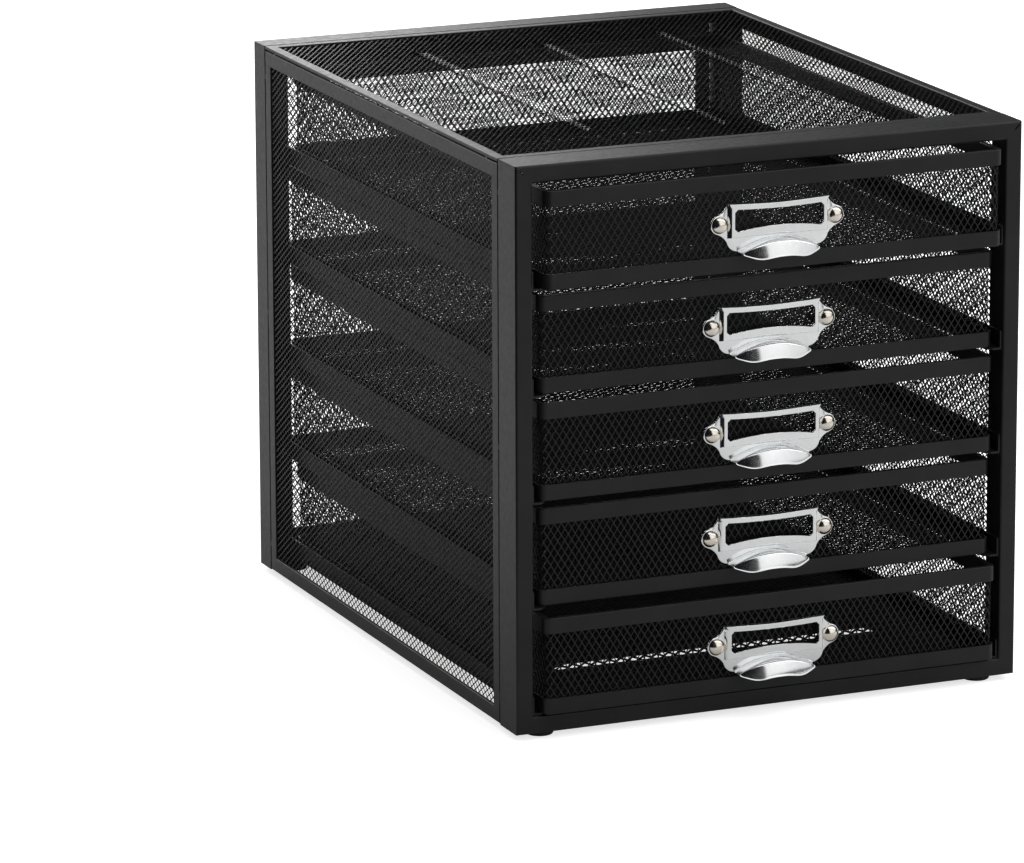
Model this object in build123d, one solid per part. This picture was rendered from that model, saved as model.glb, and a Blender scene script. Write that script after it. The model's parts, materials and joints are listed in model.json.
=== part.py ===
from build123d import *
import os
from math import cos, hypot, pi, radians, sin

# Desk drawer unit: a steel cabinet of two folded frames and expanded metal panels, open below,
# with five mesh drawers. +X is to the right, -Y towards the person, +Z up, floor at zero.

# Cabinet
cabinet_width = 275.0
cabinet_depth = 355.0
frame_height = 287.0
frame_face = 9.0
frame_sheet = 1.0
frame_bend = 1.2
front_frame_depth = 21.5
rear_frame_depth = 16.0
front_lip_depth = 12.0
rear_lip_depth = 10.0
mitre_slit_length = 5.0
mitre_slit_width = 0.7

# Panels between the frames
panel_thickness = 1.6
panel_slit = 1.0
side_strip = 7.5
top_strip = 5.5
rear_strip = 8.0
side_panel_lift = 0.5
rear_panel_recess = 1.4
strip_edge_radius = 0.4
tab_length = 2.5
tab_thickness = 0.9
tab_end_distance = 14.0

# Expanded metal
mesh_sheet = 1.0
mesh_margin = 1.2
mesh_strand = 2.0
panel_mesh_long = 36.0
panel_mesh_short = 24.0
drawer_mesh_long = 33.0
drawer_mesh_short = 20.0
floor_mesh_long = 36.0
floor_mesh_short = 24.0

# Pressed beads in the top panel
bead_count = 3
bead_spacing = 68.75
bead_width = 9.0
bead_length = 232.0
bead_depth = 1.5

# Feet
foot_height = 3.0
foot_radius = 7.0
foot_side_distance = 16.5
foot_edge = 0.5

# Drawers, top to bottom: how far each face stands in front of the cabinet's face
faces_drawn_out = [6.0, -3.0, -1.5, -3.5, 4.5]
drawer_gap = 4.5
drawer_head_room = 3.2
drawer_side_room = 3.25
drawer_back_room = 15.0
drawer_corner = 4.0
rim_leaf = 0.8
rim_height = 8.0
rim_fit = 0.1
rim_fold_radius = 0.5
floor_ledge = 7.0

# Runners
runner_sheet = 1.0
runner_leg = 9.5
runner_ledge = 8.0
runner_setback = 1.6
runner_rear_gap = 0.6
runner_corner_cut = 3.0
rest_gap = 0.3

# Label pull, measured from the middle of its two rivets
pull_drop = 0.3
pull_sheet = 0.8
rivet_spacing = 62.6
ear_radius = 4.6
ear_throat = 4.4
label_half_width = 26.4
label_top = 10.6
label_top_dip = 0.9
label_bottom = 6.9
label_rise = 1.2
window_half_width = 24.1
window_top = 7.6
window_top_dip = 0.7
window_bottom = 3.75
window_arch = 2.0
window_corner = 1.6
shoulder_drop = 10.4
cup_drop = 16.0
cup_half_width = 21.2
cup_reach = 11.5
cup_rise = 6.5
cup_ridge_side = 0.8
cup_ridge_top = 1.9
cup_ridge_height = 0.9
cup_wall = 0.9
lip_wave = 2.7
lip_wave_power = 1.6

# Rivets
rivet_shank_radius = 1.5
rivet_hole_fit = 0.1
rivet_head_radius = 3.75
rivet_head_height = 2.6
rivet_tail_radius = 3.0
rivet_tail_height = 1.0
bore_land = 2.6

# Sizes that follow
drawer_count = len(faces_drawn_out)
pull_reach = cup_reach - rim_leaf - rim_fit
cabinet_face_y = -(cabinet_depth + max(faces_drawn_out) + pull_reach) / 2 + max(faces_drawn_out) + pull_reach
cabinet_back_y = cabinet_face_y + cabinet_depth
frame_bottom = foot_height
frame_top = frame_bottom + frame_height
half_width = cabinet_width / 2
opening_half = half_width - frame_face
opening_bottom = frame_bottom + frame_face
opening_top = frame_top - frame_face
panels_front_y = cabinet_face_y + front_frame_depth + panel_slit
panels_back_y = cabinet_back_y - rear_frame_depth - panel_slit
rear_panel_y = cabinet_back_y - rear_panel_recess - panel_thickness

lowest_drawer_z = opening_bottom + runner_sheet + rest_gap
drawers_room = opening_top - drawer_head_room - lowest_drawer_z
drawer_height = (drawers_room - (drawer_count - 1) * drawer_gap) / drawer_count
drawer_pitch = drawer_height + drawer_gap
drawer_width = 2 * (opening_half - runner_sheet - drawer_side_room)
drawer_depth = cabinet_depth - drawer_back_room
rim_thickness = 2 * (rim_leaf + rim_fit) + mesh_sheet
wall_inset = rim_leaf + rim_fit
wall_corner = drawer_corner - wall_inset
wall_bottom = rim_leaf + mesh_sheet
wall_top = drawer_height - rim_leaf


def block(low, high):
    # A box between two corners
    size = [b - a for a, b in zip(low, high)]
    middle = [(a + b) / 2 for a, b in zip(low, high)]
    return Pos(*middle) * Box(*size)


def rounded_slab(width, depth, radius, bottom, height):
    # A plate with rounded vertical corners, its front edge on the X axis
    outline = RectangleRounded(width, depth, radius)
    return Pos(0, depth / 2, bottom) * extrude(outline, height)


def drawer_corners():
    return (-drawer_width / 2, 0), (drawer_width / 2, drawer_depth)


def hollow_band(inset, thickness, bottom, height):
    # A closed band that follows the drawer's outline at an inset
    outer = rounded_slab(
        drawer_width - 2 * inset, drawer_depth - 2 * inset, drawer_corner - inset, bottom, height
    )
    inner_inset = inset + thickness
    inner = rounded_slab(
        drawer_width - 2 * inner_inset,
        drawer_depth - 2 * inner_inset,
        max(drawer_corner - inner_inset, rim_fold_radius),
        bottom,
        height,
    )
    return Pos(0, inset, 0) * outer - Pos(0, inner_inset, 0) * inner


def cut_back(points, limit, side):
    # The part of a convex outline on one side of the line x = limit
    kept = []
    for (ax, ay), (bx, by) in zip(points, points[1:] + points[:1]):
        first_in = side * (ax - limit) >= 0
        if first_in:
            kept.append((ax, ay))
        if first_in != (side * (bx - limit) >= 0):
            kept.append((limit, ay + (by - ay) * (limit - ax) / (bx - ax)))
    return kept


def expanded_sheet(size_x, size_y, pitch_x, pitch_y, outline=None, bores=(), bore_radius=0, bays=None):
    # A flat sheet centred on the origin with staggered diamond gaps. Diamonds on the edge of the
    # pattern are halves, none comes near a bore, and bays are the strips in x that gaps keep to.
    span_x = size_x - 2 * mesh_margin
    span_y = size_y - 2 * mesh_margin
    columns = max(1, round(span_x / pitch_x))
    rows = max(1, round(span_y / pitch_y))
    half_x = span_x / columns / 2
    half_y = span_y / rows / 2
    shrink = 1 - mesh_strand / 2 * hypot(half_x, half_y) / (half_x * half_y)
    bays = bays or [(-span_x / 2, span_x / 2)]

    def meets_land(x, y):
        # Whether the diamond's sides pass nearer to a bore's middle than the plain land round it
        reach = [abs(x - bx) / half_x + abs(y - by) / half_y - 1 for bx, by in bores]
        return bool(reach) and min(reach) / hypot(1 / half_x, 1 / half_y) < bore_radius + bore_land

    gaps = []
    for i in range(2 * columns + 1):
        for j in range(2 * rows + 1):
            x = i * half_x - span_x / 2
            y = j * half_y - span_y / 2
            on_corner = i in (0, 2 * columns) and j in (0, 2 * rows)
            if i % 2 != j % 2 or on_corner or meets_land(x, y):
                continue
            tips = [
                (x + half_x * shrink, y),
                (x, y + half_y * shrink),
                (x - half_x * shrink, y),
                (x, y - half_y * shrink),
            ]
            inside = [tip for tip in tips if abs(tip[1]) < span_y / 2 + mesh_margin / 2]
            for low, high in bays:
                gap = cut_back(cut_back(inside, low, 1), high, -1)
                if gap and max(q[0] for q in gap) - min(q[0] for q in gap) > mesh_strand:
                    gaps.append(Wire.make_polygon(gap))
    for x, y in bores:
        gaps.append(Wire.make_circle(bore_radius, Plane((x, y, 0))))
    if outline is None:
        outline = Rectangle(size_x, size_y)
    sheet = Face(outline.face().outer_wire(), gaps)
    return Solid.extrude(sheet, Vector(0, 0, mesh_sheet))


def mitred(ring, low, high, reach):
    # Cuts a frame drawn flat along its four mitres: bottom, right, top and left member
    outer = [(low[0], low[1]), (high[0], low[1]), (high[0], high[1]), (low[0], high[1])]
    inner = [
        (low[0] + reach, low[1] + reach),
        (high[0] - reach, low[1] + reach),
        (high[0] - reach, high[1] - reach),
        (low[0] + reach, high[1] - reach),
    ]
    members = []
    for k in range(4):
        n = (k + 1) % 4
        outline = make_face(Polyline(outer[k], outer[n], inner[n], inner[k], close=True))
        wedge = Pos(0, 0, -cabinet_width) * extrude(outline, 2 * cabinet_width)
        members.append((ring & wedge).solid())
    return members


def edging(size_x, size_y, strip):
    # A flat strip frame round a sheet, its shown side up, with softened edges there
    ring = Rectangle(size_x, size_y) - Rectangle(size_x - 2 * strip, size_y - 2 * strip)
    body = extrude(ring, panel_thickness)
    body = fillet(body.faces().sort_by(Axis.Z)[-1].edges(), strip_edge_radius)
    corner = (size_x / 2, size_y / 2)
    return Compound(children=mitred(body, (-corner[0], -corner[1]), corner, strip))


def facing_front(x, y, z):
    # Places a flat piece upright, its shown side towards -Y
    return Plane((x, y, z), x_dir=(1, 0, 0), z_dir=(0, -1, 0)).location


def facing_back(x, y, z):
    return Plane((x, y, z), x_dir=(-1, 0, 0), z_dir=(0, 1, 0)).location


def facing_side(x, y, z, side):
    # Places a flat piece upright, its shown side towards +X or -X
    return Plane((x, y, z), x_dir=(0, side, 0), z_dir=(side, 0, 0)).location


def channel_ring(depth, lip_depth):
    # The whole frame as one folded channel, drawn flat with its face up and its open side down
    inside = half_width - frame_sheet
    lip = opening_half + frame_sheet
    whole = block((-half_width, frame_bottom, 0), (half_width, frame_top, depth))
    opening = block((-opening_half, opening_bottom, -1), (opening_half, opening_top, depth + 1))
    ring = whole - opening
    ring = fillet(ring.faces().sort_by(Axis.Z)[-1].edges(), frame_bend)
    channel = block(
        (-inside, frame_bottom + frame_sheet, -1), (inside, frame_top - frame_sheet, depth - frame_sheet)
    ) - block((-lip, opening_bottom - frame_sheet, -1), (lip, opening_top + frame_sheet, depth))
    below_lip = block(
        (-lip - 1, opening_bottom - frame_sheet - 1, -1),
        (lip + 1, opening_top + frame_sheet + 1, depth - lip_depth),
    )
    return ring - channel - below_lip


def frame_members(ring, place, prefix):
    reach = frame_face + 2 * frame_sheet
    members = mitred(ring, (-half_width, frame_bottom), (half_width, frame_top), reach)
    if prefix == "front_frame":
        names = ("bottom_rail", "right_post", "top_rail", "left_post")
    else:
        names = ("bottom_rail", "left_post", "top_rail", "right_post")
    return {prefix + "_" + name: place * solid for name, solid in zip(names, members)}


def make_front_frame():
    # The two upper mitres stay open a little way from the outer corner
    ring = channel_ring(front_frame_depth, front_lip_depth)
    along = mitre_slit_length / 2 ** 0.5
    for side in (-1, 1):
        middle = (side * (half_width - along / 2), frame_top - along / 2, front_frame_depth)
        slit = Box(mitre_slit_length + 2 * mitre_slit_width, mitre_slit_width, 2 * frame_sheet)
        ring -= Pos(*middle) * Rot(0, 0, 45 * side) * slit
    return frame_members(ring, facing_front(0, cabinet_face_y + front_frame_depth, 0), "front_frame")


def make_rear_frame():
    ring = channel_ring(rear_frame_depth, rear_lip_depth)
    return frame_members(ring, facing_back(0, cabinet_back_y - rear_frame_depth, 0), "rear_frame")


def make_side_panels():
    length = panels_back_y - panels_front_y
    bottom = frame_bottom + side_panel_lift
    height = frame_top - panel_thickness - panel_slit - bottom
    middle_y = (panels_front_y + panels_back_y) / 2
    middle_z = bottom + height / 2
    mesh_depth = (panel_thickness - mesh_sheet) / 2
    parts = {}
    for name, side in (("left", -1), ("right", 1)):
        strip = facing_side(side * (half_width - panel_thickness), middle_y, middle_z, side)
        sheet = facing_side(side * (half_width - panel_thickness + mesh_depth), middle_y, middle_z, side)
        parts[name + "_panel_edging"] = strip * edging(length, height, side_strip)
        parts[name + "_panel_mesh"] = sheet * expanded_sheet(
            length - 2 * side_strip, height - 2 * side_strip, panel_mesh_long, panel_mesh_short
        )
    return parts


def bead_middles():
    return [(k - (bead_count - 1) / 2) * bead_spacing for k in range(bead_count)]


def make_top_panel():
    length = panels_back_y - panels_front_y
    middle_y = (panels_front_y + panels_back_y) / 2
    mesh_depth = (panel_thickness - mesh_sheet) / 2

    walls = [side * (cabinet_width / 2 - top_strip - mesh_margin) for side in (-1, 1)]
    edges = [x + side * (bead_width / 2 + mesh_strand) for x in bead_middles() for side in (-1, 1)]
    limits = walls[:1] + edges + walls[1:]
    net = expanded_sheet(
        cabinet_width - 2 * top_strip,
        length - 2 * top_strip,
        panel_mesh_short,
        panel_mesh_long,
        bays=list(zip(limits[::2], limits[1::2])),
    )
    trough = extrude(SlotOverall(bead_length, bead_width, rotation=90), bead_depth + mesh_sheet)
    hollow = SlotOverall(bead_length - 2 * mesh_sheet, bead_width - 2 * mesh_sheet, rotation=90)
    hollow = extrude(hollow, bead_depth)
    net = net.fuse(*[Pos(x, 0, -bead_depth) * trough for x in bead_middles()])
    net = net.cut(*[Pos(x, 0, mesh_sheet - bead_depth) * hollow for x in bead_middles()])
    base = Pos(0, middle_y, frame_top - panel_thickness)
    return {
        "top_panel_edging": base * edging(cabinet_width, length, top_strip),
        "top_panel_mesh": base * Pos(0, 0, mesh_depth) * net,
    }


def make_rear_panel():
    width = 2 * (opening_half - panel_slit)
    height = opening_top - opening_bottom - 2 * panel_slit
    middle_z = (opening_top + opening_bottom) / 2
    mesh_depth = (panel_thickness - mesh_sheet) / 2
    net = expanded_sheet(width - 2 * rear_strip, height - 2 * rear_strip, panel_mesh_short, panel_mesh_long)
    return {
        "rear_panel_edging": facing_back(0, rear_panel_y, middle_z) * edging(width, height, rear_strip),
        "rear_panel_mesh": facing_back(0, rear_panel_y + mesh_depth, middle_z) * net,
    }


def make_weld_tabs():
    # Small bridges across the slits, a middle one and one near each end of every slit
    half = tab_length / 2
    skin = 0.1
    side_bottom = frame_bottom + side_panel_lift
    side_top = frame_top - panel_thickness - panel_slit
    heights = (side_bottom + tab_end_distance, (side_bottom + side_top) / 2, side_top - tab_end_distance)
    depths = (
        panels_front_y + tab_end_distance,
        (panels_front_y + panels_back_y) / 2,
        panels_back_y - tab_end_distance,
    )
    widths = (-half_width + tab_end_distance, 0, half_width - tab_end_distance)
    slits_y = ((panels_front_y - panel_slit, panels_front_y), (panels_back_y, panels_back_y + panel_slit))
    tabs = []
    for side in (-1, 1):
        x = sorted((side * (half_width - skin), side * (half_width - tab_thickness)))
        for near, far in slits_y:
            for z in heights:
                tabs.append(block((x[0], near, z - half), (x[1], far, z + half)))
        for y in depths:
            tabs.append(block((x[0], y - half, side_top), (x[1], y + half, side_top + panel_slit)))
        gap = sorted((side * opening_half, side * (opening_half - panel_slit)))
        rear = rear_panel_y + panel_thickness
        for z in heights:
            tabs.append(block((gap[0], rear - tab_thickness, z - half), (gap[1], rear - skin, z + half)))
    for near, far in slits_y:
        for x in widths:
            tabs.append(
                block((x - half, near, frame_top - tab_thickness), (x + half, far, frame_top - skin))
            )
    return {"weld_tabs": Compound(children=[tab.solid() for tab in tabs])}


def make_feet():
    foot = chamfer(Cylinder(foot_radius, foot_height).edges().group_by(Axis.Z)[0], foot_edge)
    feet = []
    for x in (foot_side_distance - half_width, half_width - foot_side_distance):
        for y in (cabinet_face_y + front_frame_depth / 2, cabinet_back_y - rear_frame_depth / 2):
            feet.append((Pos(x, y, foot_height / 2) * foot).solid())
    return {"feet": Compound(children=feet)}


def make_runner(side, drawer_bottom):
    # A folded angle: its leg is welded inside the frames' lips, its ledge carries the drawer
    start = cabinet_face_y + runner_setback
    length = rear_panel_y - runner_rear_gap - start
    bottom = drawer_bottom - rest_gap - runner_sheet
    ledge = make_face(
        Polyline(
            (0, 0),
            (runner_ledge - runner_corner_cut, 0),
            (runner_ledge, runner_corner_cut),
            (runner_ledge, length),
            (0, length),
            close=True,
        )
    )
    angle = extrude(ledge, runner_sheet) + block((0, 0, 0), (runner_sheet, length, runner_leg))
    left = Pos(-opening_half, start, bottom) * angle
    return left if side < 0 else mirror(left, about=Plane.YZ)


def rivet_places():
    middle = drawer_height / 2 - pull_drop
    return [(-rivet_spacing / 2, middle), (rivet_spacing / 2, middle)]


def make_drawer_wall():
    # Four flat nets and four rounded corners, one behind the other round the drawer
    height = wall_top - wall_bottom
    middle_z = (wall_top + wall_bottom) / 2
    front_span = drawer_width - 2 * drawer_corner
    side_span = drawer_depth - 2 * drawer_corner
    pattern_height = drawer_height - 2 * rim_height + 2 * mesh_margin
    rivets = [(x, z - middle_z) for x, z in rivet_places()]

    def wall_sheet(span, bores=()):
        strip = Rectangle(span, height)
        radius = rivet_shank_radius + rivet_hole_fit
        return expanded_sheet(
            span, pattern_height, drawer_mesh_short, drawer_mesh_long, strip, bores, radius
        )

    front = wall_sheet(front_span, rivets)
    rear = wall_sheet(front_span)
    side = wall_sheet(side_span)
    inner = wall_inset + mesh_sheet
    solids = [
        facing_front(0, inner, middle_z) * front,
        facing_back(0, drawer_depth - inner, middle_z) * rear,
        facing_side(-drawer_width / 2 + inner, drawer_depth / 2, middle_z, -1) * side,
        facing_side(drawer_width / 2 - inner, drawer_depth / 2, middle_z, 1) * side,
    ]
    band = hollow_band(wall_inset, mesh_sheet, wall_bottom, height)
    across = block((-front_span / 2, -1, 0), (front_span / 2, drawer_depth + 1, drawer_height))
    along = block(
        (-drawer_width, drawer_corner, 0), (drawer_width, drawer_depth - drawer_corner, drawer_height)
    )
    corners = band - across - along
    return Compound(children=solids + list(corners.solids()))


def make_drawer_floor():
    size_x = drawer_width - 2 * wall_inset
    size_y = drawer_depth - 2 * wall_inset
    outline = RectangleRounded(size_x, size_y, wall_corner)
    pattern_x = drawer_width - 2 * floor_ledge + 2 * mesh_margin
    pattern_y = drawer_depth - 2 * floor_ledge + 2 * mesh_margin
    net = expanded_sheet(pattern_x, pattern_y, floor_mesh_short, floor_mesh_long, outline)
    return Pos(0, drawer_depth / 2, rim_leaf) * net


def make_top_rim():
    # A strip folded over the wall's edge: the groove from below takes the wall
    bottom = drawer_height - rim_height
    band = hollow_band(0, rim_thickness, bottom, rim_height)
    band = fillet(band.faces().sort_by(Axis.Z)[-1].edges(), rim_fold_radius)
    groove = hollow_band(rim_leaf, rim_thickness - 2 * rim_leaf, bottom, rim_height - rim_leaf)
    return Compound(children=mitred(band - groove, *drawer_corners(), drawer_corner))


def make_bottom_rim():
    # A strip round the wall's foot, turned in under the floor
    leaf = hollow_band(0, rim_leaf, 0, rim_height)
    base = rounded_slab(drawer_width, drawer_depth, drawer_corner, 0, rim_leaf)
    window = block(
        (floor_ledge - drawer_width / 2, floor_ledge, -1),
        (drawer_width / 2 - floor_ledge, drawer_depth - floor_ledge, rim_height),
    )
    rim = leaf + (base - window)
    rim = fillet(rim.faces().sort_by(Axis.Z)[0].outer_wire().edges(), rim_fold_radius)
    return Compound(children=mitred(rim, *drawer_corners(), floor_ledge))


def both_sides(edges):
    return list(edges) + [mirror(edge, about=Plane.YZ) for edge in edges]


def pull_outline():
    # Plate outline: dipped top, waisted ears round the rivets, shoulders down to the cup
    ear = rivet_spacing / 2
    throat_x = ear + (ear_radius ** 2 - ear_throat ** 2) ** 0.5
    shoulder_x = label_half_width + 0.2
    edges = [
        ThreePointArc((0, label_top - label_top_dip), (label_half_width / 2, label_top - 0.75 * label_top_dip),
                      (label_half_width, label_top)),
        ThreePointArc((label_half_width, label_top), (label_half_width + 2.2, label_top - 4.0),
                      (throat_x, ear_throat)),
        ThreePointArc((throat_x, ear_throat), (ear + ear_radius, 0), (throat_x, -ear_throat)),
        ThreePointArc((throat_x, -ear_throat), (shoulder_x + 2.2, -ear_throat - 2.3),
                      (shoulder_x, -shoulder_drop)),
        ThreePointArc((shoulder_x, -shoulder_drop), (shoulder_x - 1.3, -shoulder_drop - 2.6),
                      (cup_half_width + 1.2, -cup_drop + 1.4)),
        Line((cup_half_width + 1.2, -cup_drop + 1.4), (cup_half_width, -cup_drop)),
        Line((cup_half_width, -cup_drop), (0, -cup_drop)),
    ]
    return make_face(both_sides(edges))


def label_outline(inset):
    # The raised part round the window, its top edge dipped like the plate's
    x = label_half_width - inset
    z = label_top - inset
    edges = [
        ThreePointArc((0, z - label_top_dip), (x / 2, z - 0.75 * label_top_dip), (x, z)),
        Line((x, z), (x, -label_bottom + inset)),
        Line((x, -label_bottom + inset), (0, -label_bottom + inset)),
    ]
    return make_face(both_sides(edges))


def window_outline():
    x = window_half_width
    corner = window_corner
    edges = [
        ThreePointArc((0, window_top - window_top_dip), (x / 2, window_top - 0.75 * window_top_dip),
                      (x - corner, window_top)),
        Line((x - corner, window_top), (x, window_top - corner)),
        Line((x, window_top - corner), (x, -window_bottom + corner)),
        Line((x, -window_bottom + corner), (x - corner, -window_bottom)),
        ThreePointArc((x - corner, -window_bottom), (x / 2, -window_bottom + 0.75 * window_arch),
                      (0, -window_bottom + window_arch)),
    ]
    return make_face(both_sides(edges))


def dome(inset, skirt):
    # Half of a flattened dome standing on an ellipse, with a straight skirt below
    steps = 5
    rings = []
    for k in range(steps + 1):
        angle = radians(82) * k / steps
        plan = Ellipse((cup_half_width - inset) * cos(angle), (cup_reach - inset) * cos(angle))
        height = -cup_drop + (cup_rise - inset) * sin(angle)
        rings.append(Plane((0, height, 0), x_dir=(1, 0, 0), z_dir=(0, 1, 0)) * plan)
    low = Plane((0, -cup_drop, 0), x_dir=(1, 0, 0), z_dir=(0, -1, 0))
    body = loft(rings)
    return body + extrude(low * Ellipse(cup_half_width - inset, cup_reach - inset), skirt)


def below_lip():
    # What lies under the lip's double wave: nothing at the middle and ends, lip_wave between
    count = 12
    points = []
    for k in range(count + 1):
        share = k / count
        drop = lip_wave * sin(pi * share ** lip_wave_power) ** 2
        points.append((share * cup_half_width, -cup_drop - drop))
    deep = -cup_drop - 3 * lip_wave
    wave = Spline(points)
    far = cup_half_width + 3
    edges = [wave, Line(points[-1], (far, points[-1][1])), Line((far, points[-1][1]), (far, deep)),
             Line((far, deep), (0, deep))]
    return extrude(make_face(both_sides(edges)), cup_reach + 2)


def make_pull():
    # Drawn flat with its back at zero, then stood against the front net
    label = label_outline(0)
    plate = extrude(pull_outline() - label, pull_sheet)
    pocket = extrude(label_outline(pull_sheet) + Pos(0, label_top) * Rectangle(
        2 * (label_half_width - pull_sheet), 2 * label_top_dip + 2), label_rise)
    raised = extrude(label, label_rise + pull_sheet) - pocket
    raised -= extrude(window_outline(), label_rise + pull_sheet)
    front_half = block(
        (-half_width, -half_width, 0), (half_width, half_width, cup_reach + 1)
    )
    above = block((-half_width, -cup_drop, 0), (half_width, 0, cup_reach))
    ridge = Ellipse(cup_half_width + cup_ridge_side, cup_rise + cup_ridge_top)
    arch = extrude(Pos(0, -cup_drop) * ridge, pull_sheet + cup_ridge_height) & above
    cup = (dome(0, lip_wave + 0.5) & front_half) - below_lip()
    body = plate + raised + arch + cup - dome(cup_wall, lip_wave + 2)
    for x in (-rivet_spacing / 2, rivet_spacing / 2):
        body -= Pos(x, 0) * Cylinder(rivet_shank_radius + rivet_hole_fit, 4 * pull_sheet)
    return facing_front(0, wall_inset, drawer_height / 2 - pull_drop) * body


def make_rivets():
    # Domed head on the plate, shank through plate and net, flat tail inside
    cap = (rivet_head_radius ** 2 + rivet_head_height ** 2) / (2 * rivet_head_height)
    ball = Pos(0, 0, rivet_head_height - cap) * Sphere(cap)
    head = ball & block((-cap, -cap, 0), (cap, cap, cap))
    through = pull_sheet + mesh_sheet
    shank = Pos(0, 0, -through / 2) * Cylinder(rivet_shank_radius, through)
    tail = Pos(0, 0, -through - rivet_tail_height / 2) * Cylinder(rivet_tail_radius, rivet_tail_height)
    rivet = head + shank + tail
    places = [facing_front(x, wall_inset - pull_sheet, z) for x, z in rivet_places()]
    return Compound(children=[(place * rivet).solid() for place in places])


def make_drawers():
    pieces = {
        "wall_mesh": make_drawer_wall(),
        "floor_mesh": make_drawer_floor(),
        "top_rim": make_top_rim(),
        "bottom_rim": make_bottom_rim(),
        "label_pull": make_pull(),
        "pull_rivets": make_rivets(),
    }
    parts = {}
    for number, drawn_out in enumerate(faces_drawn_out, start=1):
        bottom = lowest_drawer_z + (drawer_count - number) * drawer_pitch
        place = Pos(0, cabinet_face_y - drawn_out, bottom)
        for name, solid in pieces.items():
            parts["drawer_" + str(number) + "_" + name] = place * solid
        for side_name, side in (("left", -1), ("right", 1)):
            parts[side_name + "_runner_" + str(number)] = make_runner(side, bottom)
    return parts


parts = {}
parts.update(make_front_frame())
parts.update(make_rear_frame())
parts.update(make_side_panels())
parts.update(make_top_panel())
parts.update(make_rear_panel())
parts.update(make_weld_tabs())
parts.update(make_feet())
parts.update(make_drawers())

os.makedirs("parts", exist_ok=True)
for name, shape in parts.items():
    export_step(shape, os.path.join("parts", name + ".step"))
print(len(parts), "nodes; drawer", round(drawer_width, 2), round(drawer_depth, 2), round(drawer_height, 2))
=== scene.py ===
import bpy
import json
import numpy as np
from mathutils import Matrix, Vector


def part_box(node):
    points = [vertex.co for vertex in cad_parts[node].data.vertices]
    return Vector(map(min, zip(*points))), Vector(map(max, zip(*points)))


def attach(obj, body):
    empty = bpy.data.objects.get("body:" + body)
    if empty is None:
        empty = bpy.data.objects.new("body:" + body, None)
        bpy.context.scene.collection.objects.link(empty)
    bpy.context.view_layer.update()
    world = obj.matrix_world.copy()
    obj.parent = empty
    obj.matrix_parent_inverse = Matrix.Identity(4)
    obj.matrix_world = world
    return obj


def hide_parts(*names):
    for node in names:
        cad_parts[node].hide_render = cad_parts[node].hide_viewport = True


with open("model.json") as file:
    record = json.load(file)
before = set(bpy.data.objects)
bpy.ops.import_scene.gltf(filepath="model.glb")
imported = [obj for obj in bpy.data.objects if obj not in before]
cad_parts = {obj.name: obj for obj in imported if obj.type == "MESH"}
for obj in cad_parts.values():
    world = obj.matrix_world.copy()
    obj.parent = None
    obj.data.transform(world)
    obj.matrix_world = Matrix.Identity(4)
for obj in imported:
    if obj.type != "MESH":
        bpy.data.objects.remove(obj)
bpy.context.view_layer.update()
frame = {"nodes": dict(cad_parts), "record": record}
drawerNumbers = [1, 2, 3, 4, 5]
millimetre = 0.001


def nodeBox(node):
    # A node's lowest and highest corners in millimetres
    return [np.array(corner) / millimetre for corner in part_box(node)]


# The camera stands where the photograph was taken from: its turns in degrees, its lens, offsets
# and distance from the middle of the cabinet's foot in millimetres, and how near and how far it
# sees in metres
camera = {
    "azimuth": -22.97,
    "elevation": 14.22,
    "roll": -0.195,
    "lens": 233.66,
    "sensor": 36.0,
    "right": -59.7,
    "up": 97.0,
    "distance": 3492.3,
    "aim": (0.0, 8.3, 3.0),
    "nearest": 0.1,
    "furthest": 60.0,
}


def makeCamera():
    # Back is the direction from the aim to the camera, right lies level, up is square to both
    turned, raised, rolled = (np.radians(camera[key]) for key in ("azimuth", "elevation", "roll"))
    back = np.array([
        np.sin(turned) * np.cos(raised),
        -np.cos(turned) * np.cos(raised),
        np.sin(raised),
    ])
    level = np.cross([0, 0, 1], back)
    level /= np.linalg.norm(level)
    upright = np.cross(back, level)
    right = level * np.cos(rolled) + upright * np.sin(rolled)
    up = upright * np.cos(rolled) - level * np.sin(rolled)
    place = right * camera["right"] + up * camera["up"] + back * camera["distance"] + camera["aim"]
    data = bpy.data.cameras.new("photoCamera")
    data.lens = camera["lens"]
    data.sensor_width = camera["sensor"]
    data.clip_start = camera["nearest"]
    data.clip_end = camera["furthest"]
    item = bpy.data.objects.new("photoCamera", data)
    bpy.context.scene.collection.objects.link(item)
    turn = Matrix([right, up, back]).transposed().to_4x4()
    item.matrix_world = Matrix.Translation(Vector(place * millimetre)) @ turn
    bpy.context.scene.camera = item


makeCamera()
print("camera placed")


# Finishes: a pair of numbers is the least and the most that the noise gives, scales are per metre
# and heights in metres
powderCoat = {
    "steelColour": (0.0105, 0.0105, 0.0112),
    "meshColour": (0.0055, 0.0055, 0.006),
    "steelRoughness": (0.32, 0.42),
    "meshRoughness": (0.22, 0.3),
    "steelGloss": 0.25,
    "meshGloss": 0.3,
    "floorRoughness": (0.5, 0.6),
    "floorGloss": 0.12,
    "cloudScale": 45.0,
    "cloudTone": (0.8, 1.25),
    "grainScale": 320.0,
    "peelScale": 1400.0,
    "peelDetail": 2.0,
    "peelHeight": 0.00004,
    "meshPeelHeight": 0.00002,
}

brightPlate = {
    "chromeColour": (0.8, 0.812, 0.815),
    "chromeRoughness": (0.1, 0.14),
    "nickelColour": (0.76, 0.71, 0.63),
    "nickelRoughness": (0.12, 0.24),
    "smearScale": 420.0,
    "smearDetail": 5.0,
    "smearTone": (0.96, 1.02),
    "waveScale": 90.0,
    "waveDetail": 1.0,
    "waveHeight": 0.00002,
}

footRubber = {
    "colour": (0.016, 0.016, 0.016),
    "roughness": (0.7, 0.85),
    "tone": (0.8, 1.3),
    "grainScale": 2600.0,
    "grainHeight": 0.00003,
}

# The noise seldom leaves this middle part of its range
noiseMiddle = (0.3, 0.7)


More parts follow.
